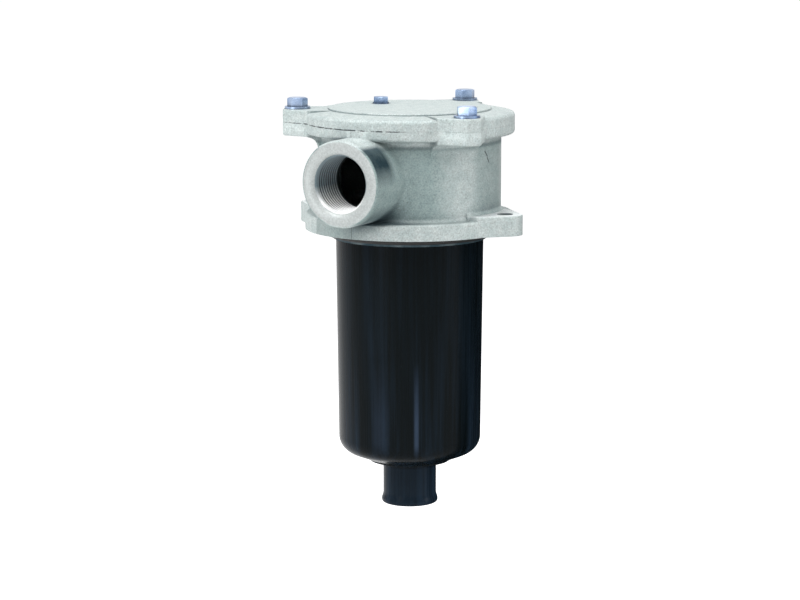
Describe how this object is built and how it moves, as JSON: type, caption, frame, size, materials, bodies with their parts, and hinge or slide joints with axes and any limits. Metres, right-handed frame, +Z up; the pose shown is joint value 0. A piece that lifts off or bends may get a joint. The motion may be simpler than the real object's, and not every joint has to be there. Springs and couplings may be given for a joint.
{
  "type": "return line filter",
  "caption": "Tank-top return line filter: flanged cast head with threaded side inlet, bolted cover, hanging tapered bowl with outlet neck, pleated element and bypass valve inside.",
  "frame": {"origin": "centre of the mounting flange's underside, on the bowl's axis, midway between the ear holes", "axes": "+Z up along the bowl's axis towards the cover, -Y out of the inlet port, X through the two mounting ears"},
  "size_m": [0.1404, 0.1479, 0.2314],
  "materials": {
    "cast_alloy": "blasted casting, satin",
    "zinc_steel": "bright bluish zinc plate",
    "washer_metal": "soft sheet",
    "bowl_polymer": "black glossy moulded",
    "cap_steel": "tinned sheet",
    "core_steel": "perforated sheet",
    "filter_media": "pleated paper",
    "valve_polymer": "moulded",
    "turned_steel": "turned",
    "spring_steel": "phosphated wire",
    "gasket_fibre": "pressed fibre",
    "seal_rubber": "moulded rubber"
  },
  "bodies": {
    "filter": {"head_casting": "cast_alloy", "cover": "cast_alloy", "cover_bolts": "zinc_steel", "bleed_screw": "zinc_steel", "bleed_washer": "washer_metal", "bowl": "bowl_polymer", "element_top_cap": "cap_steel", "element_bottom_cap": "cap_steel", "element_core": "core_steel", "element_media": "filter_media", "bypass_body": "valve_polymer", "bypass_gasket": "gasket_fibre", "hold_down_spring": "spring_steel", "bypass_spring": "spring_steel", "cover_seal": "seal_rubber", "bowl_seal": "seal_rubber", "tank_seal": "seal_rubber", "element_seal": "seal_rubber"},
    "poppet": {"bypass_poppet": "turned_steel", "poppet_seal": "seal_rubber", "spring_retainer": "turned_steel", "retaining_clip": "spring_steel"}
  },
  "joints": [
    {"name": "bypass_opening", "type": "slide", "parent": "filter", "child": "poppet", "axis": [0, 0, -1], "range_m": [0, 0.005], "stiffness_N_per_m": 5600, "springref_m": -0.0107, "deforming": ["bypass_spring"]}
  ]
}
